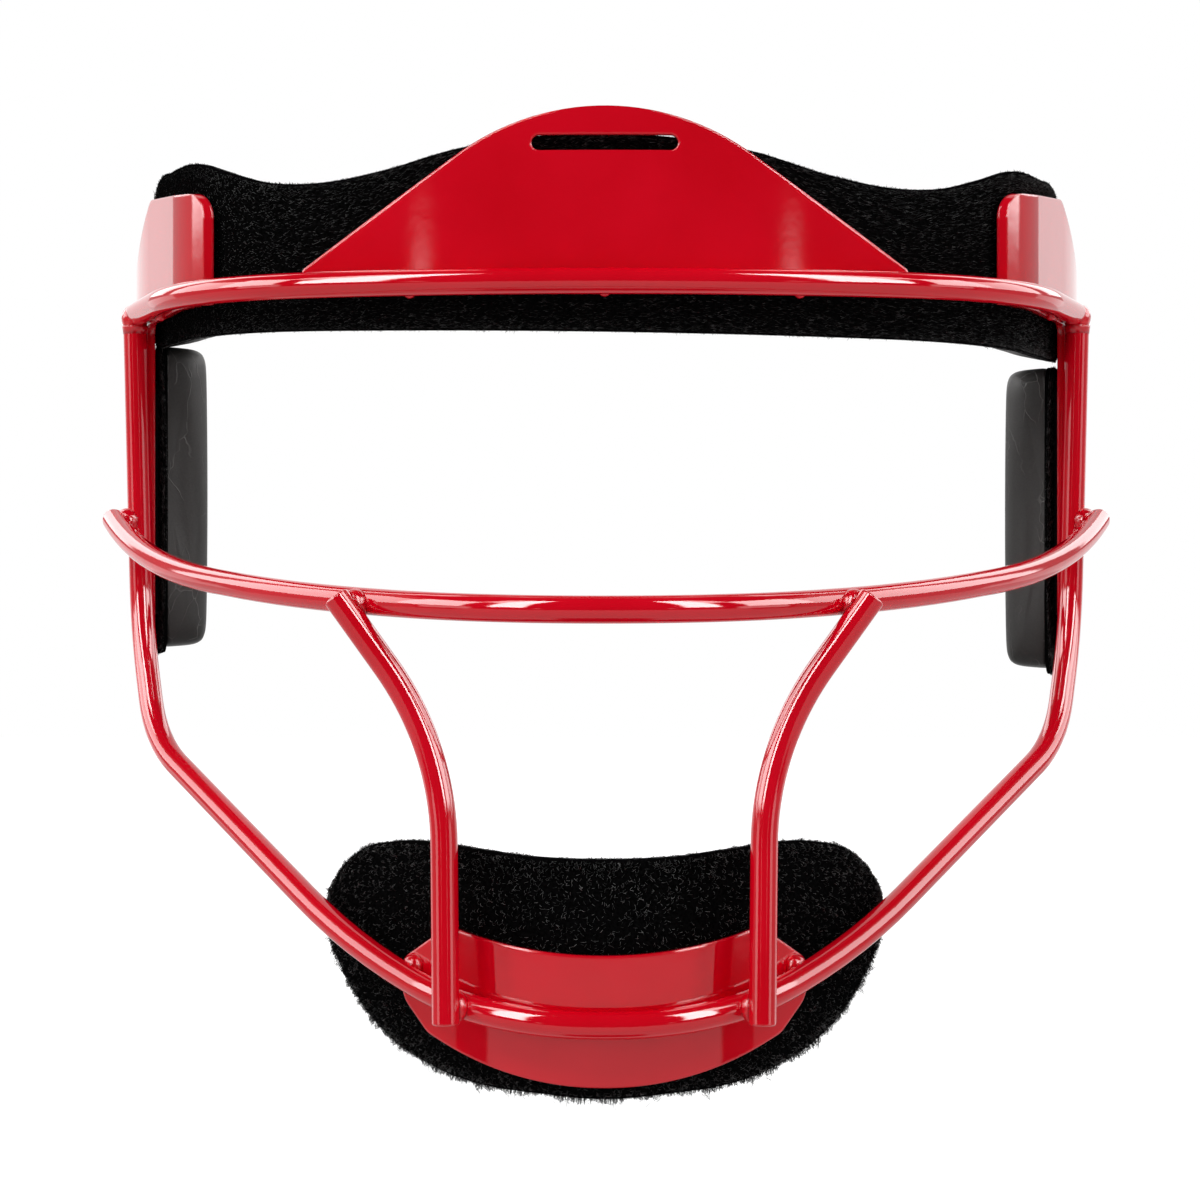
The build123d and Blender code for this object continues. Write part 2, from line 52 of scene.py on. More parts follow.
camera_data = bpy.data.cameras.new("camera")
camera = bpy.data.objects.new("camera", camera_data)
bpy.context.scene.collection.objects.link(camera)
camera.location = (lens_distance * math.sin(lens_turn), -lens_distance * math.cos(lens_turn), 0)
camera.rotation_euler = (math.pi / 2, 0, lens_turn)
camera_data.sensor_width = sensor_width
camera_data.lens = sensor_width * focal_pixels / photo_width
camera_data.shift_x = (photo_width / 2 - middle_column) / photo_width
camera_data.clip_start = 0.05
bpy.context.scene.camera = camera
bpy.context.scene.view_settings.view_transform = "Standard"


# White sweep and studio light. The sweep is white to the camera. What the coat reflects changes with
# direction round the studio: a pale board in front, soft boxes above it and to its sides, a narrow strip
# light between them, dim walls with a high lamp on each, and the bright sweep behind.
class Shade:
    """A socket in the nodes of one finish. Operators add Math nodes, and `add` adds any other node."""

    def __init__(self, tree, socket):
        self.tree = tree
        self.socket = socket

    def add(self, kind, settings=None, sockets=None, output=0):
        """Node of a type, with its settings set first and its sockets given values or links."""
        node = self.tree.nodes.new(kind)
        for name, value in (settings or {}).items():
            if name == "stops":
                ramp = node.color_ramp
                while len(ramp.elements) < len(value):
                    ramp.elements.new(0.5)
                for element, (place, colour) in zip(ramp.elements, value):
                    element.position = place
                    element.color = (*colour, 1.0)
            else:
                setattr(node, name, value)
        for name, value in (sockets or {}).items():
            if isinstance(value, Shade):
                self.tree.links.new(value.socket, node.inputs[name])
            else:
                node.inputs[name].default_value = value
        return Shade(self.tree, node.outputs[output])

    def maths(self, operation, *values):
        return self.add("ShaderNodeMath", {"operation": operation}, dict(enumerate((self, *values))))

    def __add__(self, other):
        return self.maths("ADD", other)

    def __mul__(self, other):
        return self.maths("MULTIPLY", other)

    def __sub__(self, other):
        return self.maths("SUBTRACT", other)

    def __truediv__(self, other):
        return self.maths("DIVIDE", other)

    def __rsub__(self, other):
        return self.add("ShaderNodeMath", {"operation": "SUBTRACT"}, {0: other, 1: self})

    __radd__ = __add__
    __rmul__ = __mul__

    def between(self, low, high):
        """0 below low, 1 above high, and smooth in between."""
        settings = {"interpolation_type": "SMOOTHSTEP"}
        sockets = {"Value": self, "From Min": low, "From Max": high}
        return self.add("ShaderNodeMapRange", settings, sockets)


def new_finish(name):
    """A material with a Principled shader: the material, its node tree's first Shade, and the shader."""
    material = bpy.data.materials.new(name)
    material.use_nodes = True
    tree = material.node_tree
    place = tree.nodes.new("ShaderNodeTexCoord").outputs["Object"]
    return material, Shade(tree, place), tree.nodes["Principled BSDF"]


def feed(shader, **sockets):
    """Gives a shader's sockets values or links; an underscore stands for a space in a socket's name."""
    for name, value in sockets.items():
        socket = shader.inputs[name.replace("_", " ")]
        if isinstance(value, Shade):
            value.tree.links.new(value.socket, socket)
        else:
            socket.default_value = value


world = bpy.data.worlds.new("studio")
bpy.context.scene.world = world
world.use_nodes = True
tree = world.node_tree
background = tree.nodes["Background"]
direction = Shade(tree, tree.nodes.new("ShaderNodeTexCoord").outputs["Generated"])
rays = tree.nodes.new("ShaderNodeLightPath")
seen = Shade(tree, rays.outputs["Is Camera Ray"])
mirrored = Shade(tree, rays.outputs["Is Glossy Ray"]).maths(
    "MAXIMUM", Shade(tree, rays.outputs["Is Transmission Ray"]))
split = tree.nodes.new("ShaderNodeSeparateXYZ")
tree.links.new(direction.socket, split.inputs[0])
across, along, above = (Shade(tree, split.outputs[name]) for name in "XYZ")
degree = math.pi / 180
round_angle = across.maths("ABSOLUTE").maths("ARCTAN2", 0 - along) / degree
rise_angle = above.maths("ARCSINE") / degree


def region(angle, low, high, soft=1.0):
    """1 where an angle in degrees lies between two others, with an edge some degrees soft."""
    return angle.between(low - soft, low + soft) * (1 - angle.between(high - soft, high + soft))


# Each lamp or surface: from and to, in degrees round from the front, then up from level, and its glow
surroundings = [
    (-1, 56, -75, -5.9, 0.85),
    (56, 181, -80, -13, 0.8),
    (29, 43, 10, 66, 22.0),
    (43, 54, 44, 66, 10.0),
    (54, 84, 10, 46, 12.0),
    (84, 120, 7, 40, 6.0),
    (23, 25, 3, 6.6, 3.0),
    (50, 72, -5.5, 8, 2.6),
    (75, 149, -13, 50, 0.42),
    (116, 149, -13, 4.5, 1.1),
    (130, 150, 11, 60, 4.6),
    (149, 181, -13, 70, 1.15),
]
reflected = 0.04
for near, far, low, high, glow in surroundings:
    reflected = region(round_angle, near, far) * region(rise_angle, low, high) * glow + reflected
fill_glow = 0.58 - 0.2 * across     # what lights the matt sides: even, with a little more from the left
strength = seen + (1 - seen) * (mirrored * reflected + (1 - mirrored) * fill_glow)
tree.links.new(strength.socket, background.inputs["Strength"])
background.inputs["Color"].default_value = (1, 1, 1, 1)


def soft_box(name, place, size, power):
    """Rectangular studio lamp at a place, turned to face the guard. The coat mirrors the table instead."""
    data = bpy.data.lights.new(name, "AREA")
    data.shape = "RECTANGLE"
    data.size, data.size_y = size
    data.energy = power
    lamp = bpy.data.objects.new(name, data)
    bpy.context.scene.collection.objects.link(lamp)
    lamp.location = place
    toward = lamp_aim - np.array(place)
    flat = math.hypot(toward[0], toward[1])
    lamp.rotation_euler = (math.pi / 2 + math.atan2(toward[2], flat), 0, math.atan2(-toward[0], toward[1]))
    lamp.visible_glossy = False


lamp_aim = np.array([0.0, -0.03, 0.0])
soft_box("top_left_box", (-0.75, -0.75, 1.35), (0.55, 0.35), 9.0)
soft_box("top_right_box", (0.75, -0.75, 1.35), (0.55, 0.35), 6.0)
soft_box("left_strip", (-1.35, -0.62, 0.15), (0.16, 1.1), 4.0)
soft_box("right_strip", (1.35, -0.62, 0.15), (0.16, 1.1), 4.0)

floor_drop = 0.30
floor_half = 6.0
floor_mesh = bpy.data.meshes.new("floor")
corners = [(x * floor_half, y * floor_half, -floor_drop) for x, y in ((-1, -1), (1, -1), (1, 1), (-1, 1))]
floor_mesh.from_pydata(corners, [], [(0, 1, 2, 3)])
floor = bpy.data.objects.new("floor", floor_mesh)
bpy.context.scene.collection.objects.link(floor)
floor.visible_glossy = False
floor_finish, spot, shader = new_finish("pale_floor")
rays = floor_finish.node_tree.nodes.new("ShaderNodeLightPath")
seen = Shade(floor_finish.node_tree, rays.outputs["Is Camera Ray"])
feed(shader, Base_Color=(0.8, 0.8, 0.8, 1), Roughness=0.9, Specular_IOR_Level=0.0)
feed(shader, Emission_Color=(1, 1, 1, 1), Emission_Strength=seen * 0.75)
floor_mesh.materials.append(floor_finish)


# Coated steel: bars 5 mm thick, bent and welded, then dipped in a gloss red coat. The coat is thick
# enough to lie in faint waves, and it rounds every cut edge.
def red_coat(name, edge_radius=0.0):
    """Gloss red coat, with the faint waves of a thick coat, and rounded edges where a radius is given."""
    material, spot, shader = new_finish(name)
    waves = spot.add("ShaderNodeTexNoise", None, {"Vector": spot, "Scale": 210.0, "Detail": 2.0})
    specks = spot.add("ShaderNodeTexNoise", None, {"Vector": spot, "Scale": 1500.0, "Detail": 2.0})
    normal = {"Strength": 0.3, "Distance": 0.00005, "Height": waves + specks * 0.03}
    if edge_radius:
        normal["Normal"] = spot.add("ShaderNodeBevel", {"samples": 6}, {"Radius": edge_radius})
    bumps = spot.add("ShaderNodeBump", None, normal)
    patches = spot.add("ShaderNodeTexNoise", None, {"Vector": spot, "Scale": 40.0, "Detail": 3.0})
    shade = spot.add(
        "ShaderNodeValToRGB",
        {"stops": [(0.3, (0.52, 0.0004, 0.0075)), (0.7, (0.59, 0.001, 0.0115))]},
        {"Fac": patches},
    )
    feed(shader, Base_Color=shade, Roughness=patches * 0.03 + 0.05, Normal=bumps, IOR=1.5)
    return material


def coated_copy(name, coat, merge=0.0):
    """Smooth copy of a steel node, with doubled vertices merged, and facets up to an angle apart too."""
    solid = bmesh.new()
    solid.from_mesh(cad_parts[name].data)
    bmesh.ops.remove_doubles(solid, verts=solid.verts, dist=1e-6)
    if merge:
        bmesh.ops.dissolve_limit(solid, angle_limit=merge, verts=solid.verts, edges=solid.edges)
    mesh = bpy.data.meshes.new(name + "_coated")
    solid.to_mesh(mesh)
    solid.free()
    if "custom_normal" in mesh.attributes:
        mesh.attributes.remove(mesh.attributes["custom_normal"])
    mesh.polygons.foreach_set("use_smooth", np.ones(len(mesh.polygons), bool))
    mesh.set_sharp_from_angle(angle=math.radians(35))
    mesh.materials.clear()
    mesh.materials.append(coat)
    piece = bpy.data.objects.new(name + "_coated", mesh)
    bpy.context.scene.collection.objects.link(piece)
    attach(piece, "frame")
    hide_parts(name)
    return piece


def bent_line(corners, shares):
    """Centre line of a bent bar as close points: straight runs joined by arcs.

    An arc takes a share of the shorter run at its corner. With the turn T between the runs its radius
    is that length / tan(T / 2), and its points are start + radius * (sin t * ahead + (1 - cos t) * side).
    """
    places = [corners[0]]
    for before, corner, after, share in zip(corners, corners[1:], corners[2:], shares):
        reach = share * min(np.linalg.norm(corner - before), np.linalg.norm(after - corner))
        ahead = (corner - before) / np.linalg.norm(corner - before)
        leaving = (after - corner) / np.linalg.norm(after - corner)
        turn = math.acos(ahead @ leaving)
        side = (leaving - ahead * math.cos(turn)) / math.sin(turn)
        places += list(np.linspace(places[-1], corner - ahead * reach, 200)[1:])
        for t in np.linspace(0, turn, 160)[1:]:
            places.append(corner - ahead * reach
                          + reach / math.tan(turn / 2) * (math.sin(t) * ahead + (1 - math.cos(t)) * side))
    return np.array(places + list(np.linspace(places[-1], corners[-1], 200)[1:])) * millimetre


def read(items, name, width=1, kind=float):
    """A property of a mesh's vertices, faces or corners, with a row for each where it has a width."""
    values = np.empty(len(items) * width, kind)
    items.foreach_get(name, values)
    return values.reshape(-1, width) if width > 1 else values


# A face lies along a bar or a plate where the cosine between their normals is above this.
same_way = 0.9


def round_shading(mesh, line):
    """Corner normals straight out from the bar's centre line, on each face that lies along the bar."""
    tree = KDTree(len(line))
    for number, place in enumerate(line):
        tree.insert(place, number)
    tree.balance()
    places = read(mesh.vertices, "co", 3)
    near = np.array([tree.find(place)[1] for place in places])
    along = np.gradient(line, axis=0)
    along = (along / np.linalg.norm(along, axis=1)[:, None])[near]
    out = places - line[near]
    out -= (out * along).sum(1)[:, None] * along
    out /= np.maximum(np.linalg.norm(out, axis=1), 1e-9)[:, None]
    out = out[read(mesh.loops, "vertex_index", 1, int)]
    flat = np.repeat(read(mesh.polygons, "normal", 3), read(mesh.polygons, "loop_total", 1, int), axis=0)
    normals = read(mesh.corner_normals, "vector", 3)
    beside = (flat * out).sum(1) > same_way
    normals[beside] = out[beside]
    mesh.normals_split_custom_set(normals)


bar_coat = red_coat("red_bar_coat")
one_plane = math.radians(0.15)
mirror = np.array([-1.0, 1.0, 1.0])
coated_copy("brow_bar", bar_coat, one_plane)

# Corners of the centre lines in millimetres, from the guard's middle to the right, and their shares
right_halves = {
    "jaw_bar": (
        [(21.0, -92.0, -76.3), (47.5, -65.2, -64.9), (93.2, -6.4, -29.4), (98.28, 7.98, -6.3),
         (99.88, 7.98, 60.5)],
        [0.495, 0.46, 0.36, 0.43],
    ),
    "cheek_bar": (
        [(21.95, -100.0, -1.7), (58.4, -66.9, 0.7), (93.99, -18.7, 6.7), (113.9, 33.17, 26.6)],
        [0.49, 0.5, 0.49],
    ),
}
for name, (corners, shares) in right_halves.items():
    corners = np.array(corners)
    line = bent_line(np.concatenate([corners[::-1] * mirror, corners]), shares[::-1] + shares)
    round_shading(coated_copy(name, bar_coat, one_plane).data, line)
mouth_corners = np.array([(48.88, -83.51, 0.74), (29.2, -85.5, -26.5), (28.49, -89.82, -76.63)])
mouth_line = bent_line(mouth_corners, [0.53])
round_shading(coated_copy("left_mouth_bar", bar_coat, one_plane).data, mouth_line * mirror)
round_shading(coated_copy("right_mouth_bar", bar_coat, one_plane).data, mouth_line)

# Plates: sheet 1.6 mm thick, cut and bent to the bars, each upright along a level track in plan. The
# coat fills out their cut edges, so that these end full and round, with a thin bright line.
brow_track = [(202.0, 16.4), (50.1, 55.7), (29.0, 0), (222.0, 8.0), (16.0, 0)]
brow_front = 60.5
chin_track = [(1.92, 0), (45.69, 45.3), (71.0, 0)]
chin_front = 92.0
sheet_coat = red_coat("red_sheet_coat", 0.0007)


def place_on_track(track, front, distance, inset):
    """Plan places at signed distances along a level track, moved inward, and the inward directions.

    A run is (radius, turn) for an arc, where a place is the centre plus the radius at the start's
    heading plus distance / radius, or (length, 0) for a straight, where it is start + heading *
    distance. The left half is the mirror image of the right.
    """
    side = np.where(distance < 0, -1.0, 1.0)
    far = np.abs(distance)
    spot = np.zeros(np.shape(far) + (2,))
    inward = np.zeros(np.shape(far) + (2,))
    start, corner, turned = 0.0, np.array([0.0, -front]), 0.0
    for number, (size, turn) in enumerate(track):
        length = size * math.radians(turn) if turn else size
        last = number == len(track) - 1
        here = (far >= start) & ((far <= start + length) | last)
        angle = turned + (far - start) / size if turn else np.full(np.shape(far), turned)
        ahead = np.stack([np.cos(angle), np.sin(angle)], -1)
        normal = np.stack([-np.sin(angle), np.cos(angle)], -1)
        first_normal = np.array([-math.sin(turned), math.cos(turned)])
        if turn:
            run = corner + size * (first_normal - normal)
            corner = corner + size * (first_normal - np.array(
                [-math.sin(turned + length / size), math.cos(turned + length / size)]))
            turned = turned + length / size
        else:
            run = corner + ahead * (far - start)[..., None]
            corner = corner + np.array([math.cos(turned), math.sin(turned)]) * length
        spot[here] = run[here]
        inward[here] = normal[here]
        start = start + length
    spot = spot + inward * np.asarray(inset)[..., None]
    return spot * np.stack([side, np.ones_like(side)], -1), inward * np.stack([side, np.ones_like(side)], -1)


def sheet_shading(mesh, track, front):
    """Exact normals for the faces of a sheet that follow its track, and smooth ones round its rim."""
    distance = np.arange(-180, 180.1, 0.2)
    line, inward = place_on_track(track, front, distance, np.zeros(len(distance)))
    plan = read(mesh.vertices, "co", 3)[:, :2] / millimetre
    nearest = np.argmin(((plan[:, None] - line[None]) ** 2).sum(-1), 1)
    level = np.concatenate([inward[nearest], np.zeros((len(plan), 1))], 1)
    flat = read(mesh.polygons, "normal", 3)
    corners = read(mesh.polygons, "loop_total", 1, int)
    owner = np.repeat(np.arange(len(flat)), corners)
    vertex = read(mesh.loops, "vertex_index", 1, int)
    lean = np.zeros(len(flat))
    np.add.at(lean, owner, (flat[owner] * level[vertex]).sum(-1) / corners[owner])
    edge = np.abs(lean[owner]) < same_way
    rim = np.full((len(plan), 3), 1e-12)
    np.add.at(rim, vertex[edge], (flat * read(mesh.polygons, "area")[:, None])[owner[edge]])
    rim /= np.linalg.norm(rim, axis=1, keepdims=True)
    normals = np.where(edge[:, None], rim[vertex], level[vertex] * np.sign(lean[owner])[:, None])
    mesh.normals_split_custom_set(normals.tolist())


for name, track, front in (
    ("forehead_plate", brow_track, brow_front), ("left_temple_plate", brow_track, brow_front),
    ("right_temple_plate", brow_track, brow_front), ("chin_plate", chin_track, chin_front),
):
    sheet_shading(coated_copy(name, sheet_coat).data, track, front)

# Weld beads: laid by hand where bars lap and behind the plates, and buried in the coat. Where each
# upright meets the brow bar, the bead is a full round lump that fills the corner.
weld_coat = red_coat("red_weld_coat", 0.0008)
for name in ("bar_welds", "plate_welds"):
    coated_copy(name, weld_coat)


def closed_grid(points):
    """Faces of a tube-like grid of points, closed round its second way, with one point at each end."""
    rows, columns = points.shape[:2]
    number = np.arange(rows * columns).reshape(rows, columns)
    after = np.roll(number, -1, 1)
    quads = np.stack([number[:-1], after[:-1], after[1:], number[1:]], -1).reshape(-1, 4)
    first = np.stack([np.full(columns, rows * columns), after[0], number[0]], -1)
    last = np.stack([np.full(columns, rows * columns + 1), number[-1], after[-1]], -1)
    ends = np.stack([points[0].mean(0), points[-1].mean(0)])
    return np.concatenate([points.reshape(-1, 3), ends]), quads.tolist() + first.tolist() + last.tolist()


def new_piece(name, vertices, faces, body, material, nodes):
    """A smooth mesh piece in millimetres, made metres, riding on a body and standing for CAD nodes."""
    mesh = bpy.data.meshes.new(name)
    mesh.from_pydata(np.asarray(vertices) * millimetre, [], faces)
    mesh.polygons.foreach_set("use_smooth", np.ones(len(mesh.polygons), bool))
    mesh.materials.append(material)
    piece = bpy.data.objects.new(name, mesh)
    bpy.context.scene.collection.objects.link(piece)
    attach(piece, body)
    if nodes:
        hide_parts(*nodes)
    return piece


# A lump is an ellipsoid with a wave of 3 per cent round its middle, for side -1 or 1:
# size * (1 + 0.03 * sin(3 * turn + 2 * rise + side) * cos(rise))
lump_centre = np.array([99.8, 8.0, 59.7])
lump_sizes = np.array([2.85, 2.95, 3.0])
turn = np.linspace(0, 2 * math.pi, 32, endpoint=False)[None, :]
rise = np.linspace(-math.pi / 2, math.pi / 2, 17)[1:-1, None]
ball = np.stack([np.cos(rise) * np.cos(turn), np.cos(rise) * np.sin(turn), np.sin(rise) + 0 * turn], -1)
for side, name in ((-1, "left"), (1, "right")):
    wave = 1 + 0.03 * np.sin(3 * turn + 2 * rise + side) * np.cos(rise)
    vertices, faces = closed_grid(ball * wave[..., None] * lump_sizes + lump_centre * np.array([side, 1, 1]))
    new_piece(name + "_joint_lump", vertices, faces, "frame", weld_coat, [])

# Hook tapes: black woven strips with short stiff hooks, glued to the steel behind each pad. They keep
# the shapes of the CAD solids and only take this finish.
hook_finish, spot, shader = new_finish("black_hook_tape")
hooks = spot.add("ShaderNodeTexVoronoi", None, {"Vector": spot, "Scale": 1400.0})
hook_bumps = spot.add("ShaderNodeBump", None, {"Strength": 0.8, "Distance": 0.0002, "Height": 1 - hooks})
feed(shader, Base_Color=(0.008, 0.008, 0.009, 1), Roughness=0.8, Specular_IOR_Level=0.2, Normal=hook_bumps)
for name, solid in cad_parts.items():
    if name.endswith("_hook_tape"):
        solid.data.materials.clear()
        solid.data.materials.append(hook_finish)


# Pads: a vinyl cover over a foam core, with loop fabric glued on the side that meets the hook tape.
# Each pad is cut in an outline that follows its plates, and the cover is drawn tight over the foam.
loop_thickness = 1.0
cover_thickness = 0.8
draw_in_limit = 0.0009     # metres, as Blender's own places are


def smooth_through(places, values, at):
    """Cubic curve through values at places, with each slope taken across the place's neighbours."""
    slopes = np.gradient(values, places)
    piece = np.clip(np.searchsorted(places, at) - 1, 0, len(places) - 2)
    width = places[piece + 1] - places[piece]
    t = (at - places[piece]) / width
    return (
        values[piece] * (2 * t**3 - 3 * t**2 + 1) + values[piece + 1] * (3 * t**2 - 2 * t**3)
        + slopes[piece] * width * (t**3 - 2 * t**2 + t) + slopes[piece + 1] * width * (t**3 - t**2)
    )


def pad_grid(pad, near, shrink, profile):
    """Places over a pad: rows along its track, and a closed profile of (depth share, height share).

    Each row has its lower edge, upper edge and thickness from the pad's stations. The last few
    millimetres at each end close as c ** 4 + (1 - share of the end) ** 4 = 1, where c shrinks the row.
    """
    places, low, high, thick = pad["stations"].T
    first, last = places[0] + shrink, places[-1] - shrink
    ring = np.sin(np.linspace(0.01, math.pi / 2, 14))[:-1]
    near_end = pad["end_round"] * (1 - (1 - ring**4) ** 0.25)
    run = np.linspace(first + pad["end_round"], last - pad["end_round"], pad["rows"])
    distance = np.concatenate([first + near_end, run, last - near_end[::-1]])
    closing = np.concatenate([ring, np.ones(len(run)), ring[::-1]])
    bottom = smooth_through(places, low, distance) + shrink
    top = smooth_through(places, high, distance) - shrink
    depth = (smooth_through(places, thick, distance) - shrink) * closing
    centre, half_height = (top + bottom) / 2, (top - bottom) / 2 * closing
    into, up = profile
    inset = near + into[None, :] * depth[:, None]
    spot, inward = place_on_track(pad["track"], pad["front"], np.repeat(distance[:, None], len(up), 1), inset)
    height = centre[:, None] + half_height[:, None] * up[None, :]
    return np.concatenate([spot, height[..., None]], -1)


def layer_profile(side_count, back_count, side_power, back_power, crown, draw):
    """Closed profile from the top of the front, round the back and up the front again.

    The sides and back follow |up| ** side_power + |into| ** back_power = 1. Then the back falls by the
    crown towards its edges, into * (1 - crown * up ** 2), and the sides draw in, up * (1 - draw * into).
    """
    corner_up, corner_into = 0.5 ** (1 / side_power), 0.5 ** (1 / back_power)
    side_into = corner_into * np.sin(np.linspace(0, math.pi / 2, side_count, endpoint=False))
    side_up = (1 - side_into**back_power) ** (1 / side_power)
    back_up = corner_up * np.sin(np.linspace(math.pi / 2, -math.pi / 2, back_count))
    back_into = (1 - np.abs(back_up) ** side_power) ** (1 / back_power)
    front_up = np.linspace(-1, 1, back_count)[1:-1]
    into = np.concatenate([side_into, back_into, side_into[::-1], np.zeros(len(front_up))])
    up = np.concatenate([side_up, back_up, -side_up[::-1], front_up])
    return into * (1 - crown * up**2), up * (1 - draw * into)


def draw_in(piece, pinned, limit):
    """Cloth pressed in from outside with its front held, for 20 frames, each point's move kept to a limit."""
    start = read(piece.data.vertices, "co", 3)
    group = piece.vertex_groups.new(name="glued_front")
    group.add([int(number) for number in np.nonzero(pinned)[0]], 1.0, "REPLACE")
    cloth = piece.modifiers.new("draw_in", "CLOTH")
    cloth.settings.use_pressure = True
    cloth.settings.uniform_pressure_force = 4.0
    cloth.settings.effector_weights.gravity = 0.0
    cloth.settings.vertex_group_mass = group.name
    cloth.settings.quality = 6
    cloth.settings.mass = 0.2
    cloth.settings.tension_stiffness = 20
    cloth.settings.compression_stiffness = 20
    cloth.settings.bending_stiffness = 2
    cloth.collision_settings.use_collision = False
    for number in range(1, 21):
        bpy.context.scene.frame_set(number)
    shaped = piece.evaluated_get(bpy.context.evaluated_depsgraph_get()).to_mesh()
    step = read(shaped.vertices, "co", 3) - start
    piece.modifiers.clear()
    bpy.context.scene.frame_set(1)
    length = np.linalg.norm(step, axis=1, keepdims=True)
    step = step * np.minimum(1, limit / np.maximum(length, 1e-9))
    piece.data.vertices.foreach_set("co", (start + step).ravel())
    piece.data.update()


def pad_stations(shares, sides, start, length, base, height, thickness, low_tilt=0.0, high_tilt=0.0):
    """Rows of (signed distance, low, high, thickness) from a table of shares, for one side or both.

    The tilts lower the bottom and the top by a share of the distance to the right of the middle.
    """
    rows = []
    for side in sides:
        for along, low, high, depth in shares:
            distance = start + along * length
            if side > 0 or distance > 0:
                rows.append((side * distance, base + low * height, base + high * height,
                             depth * thickness - loop_thickness))
    rows = np.array(sorted(rows))
    across = place_on_track(brow_track, brow_front, rows[:, 0], np.zeros(len(rows)))[0][:, 0]
    rows[:, 1] -= low_tilt * across
    rows[:, 2] -= high_tilt * across
    return rows


def strands(name, paths, widths, body, material):
    """Three-sided strands through paths of the same number of points, in millimetres, with closed ends.

    At each point the ring is place + width * (cos a * side + sin a * rise), where side and rise are
    square to the strand there and a is a third of a turn from the next.
    """
    count, steps = paths.shape[:2]
    ahead = np.gradient(paths, axis=1)
    ahead /= np.linalg.norm(ahead, axis=-1, keepdims=True)
    lean = np.broadcast_to(np.array([0.31, 0.17, 0.93]), ahead.shape)
    side = np.cross(lean, ahead)
    side /= np.linalg.norm(side, axis=-1, keepdims=True)
    rise = np.cross(ahead, side)
    angle = np.arange(3) * 2 * math.pi / 3
    ring = np.cos(angle)[:, None] * side[:, :, None] + np.sin(angle)[:, None] * rise[:, :, None]
    points = paths[:, :, None] + ring * np.asarray(widths)[None, :, None, None]
    number = np.arange(count * steps * 3).reshape(count, steps, 3)
    after = np.roll(number, -1, 2)
    quads = np.stack([number[:, :-1], after[:, :-1], after[:, 1:], number[:, 1:]], -1).reshape(-1, 4).tolist()
    ends = number[:, 0, ::-1].tolist() + number[:, -1].tolist()
    return new_piece(name, points.reshape(-1, 3), quads + ends, body, material, [])


def cloth_places(points, columns, count, chance):
    """Random places on the outer face of a fabric grid, with its outward, along and upward directions."""
    row = chance.uniform(1, len(points) - 2.01, count)
    column = chance.uniform(columns[0], columns[1] - 0.01, count)
    i, j = row.astype(int), column.astype(int)
    s, t = (row - i)[:, None], (column - j)[:, None]
    place = (points[i, j] * (1 - s) + points[i + 1, j] * s) * (1 - t) + (
        points[i, j + 1] * (1 - s) + points[i + 1, j + 1] * s) * t
    along = points[i + 1, j] - points[i, j]
    along /= np.linalg.norm(along, axis=1, keepdims=True)
    upward = np.array([[0, 0, 1.0]])
    out = np.cross(along, upward)
    out /= np.linalg.norm(out, axis=1, keepdims=True)
    return place, out * np.sign((out * place)[:, :2].sum(1))[:, None], along, upward


def edge_places(points, top, bottom, count, chance):
    """Random places along a fabric's cut edge: directions out, off the face and along, and clump sizes."""
    line = np.concatenate([points[1:-1, top], points[-2:0:-1, bottom]])
    length = np.concatenate([[0], np.cumsum(np.linalg.norm(np.diff(line, axis=0), axis=1))])
    at = chance.uniform(0, length[-1], count)
    piece = np.clip(np.searchsorted(length, at) - 1, 0, len(line) - 2)
    t = ((at - length[piece]) / np.maximum(length[piece + 1] - length[piece], 1e-9))[:, None]
    place = line[piece] * (1 - t) + line[piece + 1] * t
    along = line[piece + 1] - line[piece]
    along /= np.linalg.norm(along, axis=1, keepdims=True)
    face = np.stack([place[:, 0], place[:, 1], np.zeros(count)], -1)
    face /= np.linalg.norm(face, axis=1, keepdims=True)
    away = np.cross(along, face)
    away /= np.linalg.norm(away, axis=1, keepdims=True)
    above_middle = place[:, 2] - points[len(points) // 2, [top, bottom], 2].mean()
    away *= np.sign((away[:, 2] * above_middle).sum())
    knots = np.arange(0, length[-1] + 1.1, 1.1)
    clump = np.interp(at, knots, chance.uniform(0.3, 1.5, len(knots)))[:, None]
    return place, away, face, along, clump


vinyl, spot, shader = new_finish("black_vinyl")
diagonal = spot.add(
    "ShaderNodeMapping", None, {"Vector": spot, "Rotation": (0.45, 0.6, 0.3), "Scale": (1, 1, 0.3)})
wander = spot.add("ShaderNodeTexNoise", None, {"Vector": spot, "Scale": 90.0, "Detail": 3.0}, 1)
bent = spot.add(
    "ShaderNodeVectorMath", {"operation": "MULTIPLY_ADD"}, {0: wander, 1: (0.006, 0.006, 0.006), 2: diagonal})
cells = spot.add("ShaderNodeTexVoronoi", {"feature": "DISTANCE_TO_EDGE"}, {"Vector": bent, "Scale": 260.0})
gaps = spot.add("ShaderNodeTexNoise", None, {"Vector": diagonal, "Scale": 160.0, "Detail": 2.0})
crease_with_highlight = (1 - cells.between(0.002, 0.022)) * gaps.between(0.45, 0.65)
grain = spot.add("ShaderNodeTexNoise", None, {"Vector": spot, "Scale": 2600.0, "Detail": 3.0})
dents = spot.add("ShaderNodeTexNoise", None, {"Vector": spot, "Scale": 70.0, "Detail": 2.0})
bumps = spot.add("ShaderNodeBump", None, {
    "Strength": 0.7, "Distance": 0.0003, "Height": dents + grain * 0.12 + crease_with_highlight * 0.5})
# Creases are dented by the bump, and their lines are painted paler in the colour: a painted highlight where
# the folds catch the light.
shade = spot.add("ShaderNodeValToRGB", {"stops": [(0.0, (0.010, 0.009, 0.0085)), (1.0, (0.13, 0.125, 0.12))]},
                 {"Fac": crease_with_highlight * 0.42 + grain * 0.1})
feed(shader, Base_Color=shade, Roughness=dents * 0.2 + 0.4, Specular_IOR_Level=0.22, Normal=bumps)

